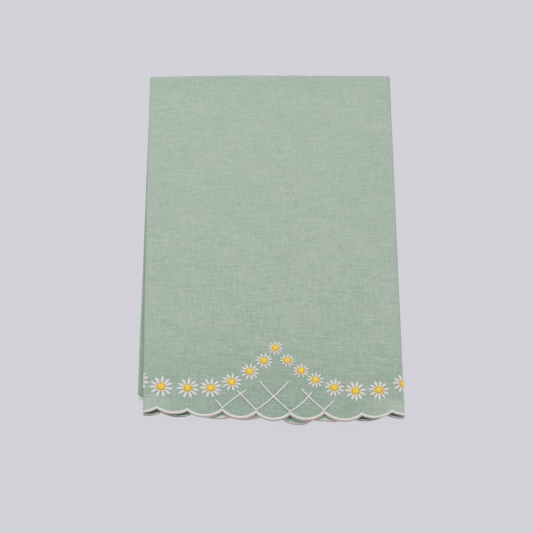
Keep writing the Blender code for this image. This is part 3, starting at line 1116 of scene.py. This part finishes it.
@dataclass(frozen=True)
class GuestTowel:
    """The whole towel: cloth, edging, daisies and lattice."""

    folding: Folding = Folding()
    front: Scallops = Scallops(
        (
            (-178.0, -0.8, 2.6), (-154.0, -2.9, 2.6), (-128.1, 0.1, 3.6),
            (-105.5, 0.6, 3.6), (-81.9, 0.9, 3.6), (-60.3, 0.0, 5.1),
            (-36.1, 0.8, 6.0), (-12.6, -0.3, 6.1), (11.1, -1.0, 5.7),
            (35.1, 0.3, 5.7), (61.4, -1.2, 3.7), (82.5, 1.3, 2.8),
            (105.4, 1.4, 3.7), (130.9, -1.3, 3.2), (156.9, -1.9, 3.5),
        ),
        (178.0, -0.6),
    )
    back: Scallops = plain_scallops(356.0, 15, 5.4, 1.8, 3.2)
    back_edging: float = 1.5
    daisies: Rows = (
        # across, up, width, turn of the first petal in degrees
        (-96.2, 20.8, 16.4, 82.0), (-79.2, 16.0, 16.4, 82.0), (-60.3, 15.2, 15.7, 83.0),
        (-44.3, 15.6, 15.2, 81.0), (-29.6, 20.5, 14.1, 80.0), (-16.7, 29.2, 13.2, 81.0),
        (-6.4, 38.3, 12.4, 79.0), (1.6, 48.6, 10.8, 93.0), (10.1, 38.6, 10.8, 86.0),
        (19.5, 30.4, 11.3, 84.0), (29.6, 23.3, 12.3, 83.0), (42.8, 17.4, 13.8, 80.0),
        (57.7, 14.9, 15.1, 80.0), (74.1, 16.0, 14.7, 79.0), (91.4, 21.5, 14.6, 80.0),
    )
    white: SatinFinish = SatinFinish("white_satin_thread", (0.82, 0.80, 0.81), (0.60, 0.57, 0.55))
    # the yellow's outer colour is painted shade round the disc's edge
    yellow: SatinFinish = SatinFinish(
        "yellow_satin_thread",
        (0.95, 0.70, 0.075),
        (0.74, 0.48, 0.030),
        rim_shade_ramp=(0.62, 0.92, 0.9),
        rim_shade=(0.62, 0.39, 0.018),
    )
    # the edging's outer colour is painted shade on its hanging outer side
    edge: SatinFinish = SatinFinish(
        "white_satin_edging", (0.86, 0.83, 0.84), (0.62, 0.57, 0.54), rim_shade_ramp=(1.15, 1.95, 0.75)
    )
    linen: LinenFinish = LinenFinish()
    right_turns: tuple[float, ...] = (0.0, 0.0, 1.0, -3.0, 2.0, 2.0, -3.0, -5.0, -4.0, -4.0, 1.0)
    first_right: int = 11
    jump_from: tuple[int, int] = (6, 0)  # daisy and petal
    jump_to: tuple[int, int] = (7, 3)
    jump_form: Rough = (-0.25, 0.22, 0.2, 0.5)  # bow, half width, height and level
    jump_sides: int = 6

    def flowers(self) -> list[Daisy]:
        """Return the daisies from the left fold to the right one."""
        flowers = [
            Daisy(number, across, up, width, math.radians(turn))
            for number, (across, up, width, turn) in enumerate(self.daisies, start=1)
        ]
        plain, leaning = flowers[: self.first_right - 1], flowers[self.first_right - 1 :]
        return plain + [replace(flower, turns=self.right_turns) for flower in leaning]

    def jump_thread(self, flowers: list[Daisy]) -> Mesh:
        """Return the fine thread left between two daisies."""
        start = flowers[self.jump_from[0] - 1].tip(self.jump_from[1])
        end = flowers[self.jump_to[0] - 1].tip(self.jump_to[1])
        return Cord(start, end, *self.jump_form, self.jump_sides).mesh()

    def build(self) -> None:
        room = Workroom(self.folding)
        white, yellow, edge = self.white.material(), self.yellow.material(), self.edge.material()
        cloth = Cloth(self.front, self.back)
        linen = cloth.build(room, self.linen.material())
        edgings = [
            Edging(self.folding, self.front, End.FRONT).build(room, edge),
            Edging(self.folding, self.back, End.BACK, self.back_edging).build(room, edge),
        ]
        flowers = self.flowers()
        for flower in flowers:
            extra = [self.jump_thread(flowers)] if flower.number == self.jump_from[0] else []
            flower.build(room, white, yellow, extra)
        Lattice(self.front).build(room, white)


# Studio


@dataclass(frozen=True)
class Studio:
    """Pale floor, soft light and the photograph's camera, with lengths in metres."""

    floor_size: float = 6.0
    floor_colour: Triple = (0.658, 0.644, 0.694)
    floor_glow: float = 0.97  # share of its colour that no shadow darkens
    sky: Triple = (0.98, 0.98, 1.0)
    sky_strength: float = 0.70
    lamp_place: Triple = (-0.14, 0.42, 0.85)
    lamp_size: float = 0.55
    lamp_power: float = 3.1
    tilt: float = math.radians(30.0)
    yaw: float = math.radians(-2.19)
    roll: float = math.radians(2.01)
    distance: float = 1.645
    target: Triple = (-0.0029, -0.0223, 0.008)
    lens: float = 153.12  # millimetres, on a sensor 36 wide
    clip: Pair = (0.05, 50.0)

    def lay_floor(self) -> None:
        """Lay the floor under the towel."""
        mesh = bmesh.new()
        bmesh.ops.create_grid(mesh, x_segments=1, y_segments=1, size=self.floor_size / 2.0)
        surface = {
            "Base Color": rgba(tuple(part * (1.0 - self.floor_glow) for part in self.floor_colour)),
            "Emission Color": rgba(self.floor_colour),
            "Emission Strength": self.floor_glow,
            "Roughness": 0.9,
            "Specular IOR Level": 0.0,
        }
        solid("floor", mesh, Shader("pale_floor", surface).material)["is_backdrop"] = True

    def light(self) -> None:
        """Hang the lamp and set the sky."""
        world = bpy.data.worlds.new("studio_sky")
        world.use_nodes = True
        backdrop = world.node_tree.nodes["Background"]
        backdrop.inputs["Color"].default_value = rgba(self.sky)
        backdrop.inputs["Strength"].default_value = self.sky_strength
        bpy.context.scene.world = world
        data = bpy.data.lights.new("soft_lamp", "AREA")
        data.shape = "DISK"
        data.size = self.lamp_size
        data.energy = self.lamp_power
        place = Vector(self.lamp_place)
        turn = (-place).to_track_quat("-Z", "Y").to_matrix().to_4x4()
        linked("soft_lamp", data).matrix_world = Matrix.Translation(place) @ turn

    def aim_camera(self) -> None:
        """Set the camera where the photograph was taken from."""
        level = Vector((math.cos(self.yaw), math.sin(self.yaw), 0.0))
        away = Vector((level.y, -level.x, 0.0)) * math.sin(self.tilt)
        back = away + Vector((0.0, 0.0, math.cos(self.tilt)))
        rise = back.cross(level)
        right = math.cos(self.roll) * level + math.sin(self.roll) * rise
        up = math.cos(self.roll) * rise - math.sin(self.roll) * level
        data = bpy.data.cameras.new("photo_camera")
        data.lens = self.lens
        data.clip_start, data.clip_end = self.clip
        camera = linked("photo_camera", data)
        turn = Matrix((right, up, back)).transposed().to_4x4()
        camera.matrix_world = Matrix.Translation(Vector(self.target) + back * self.distance) @ turn
        bpy.context.scene.camera = camera

    def build(self) -> None:
        """Set up everything round the towel."""
        bpy.context.scene.view_settings.view_transform = "Standard"
        self.lay_floor()
        self.light()
        self.aim_camera()
        LOG.info("studio ready")


def write_sizes() -> None:
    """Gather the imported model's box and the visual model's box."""
    boxes = {"cad": CAD_BOX, "visual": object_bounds()}
    plain = {name: [list(corner) for corner in box] for name, box in boxes.items()}


def main() -> None:
    """Dress the towel and set up the studio."""
    logging.basicConfig(level=logging.INFO, format="%(name)s: %(message)s")
    GuestTowel().build()
    Studio().build()
    write_sizes()


if __name__ == "__main__":
    main()
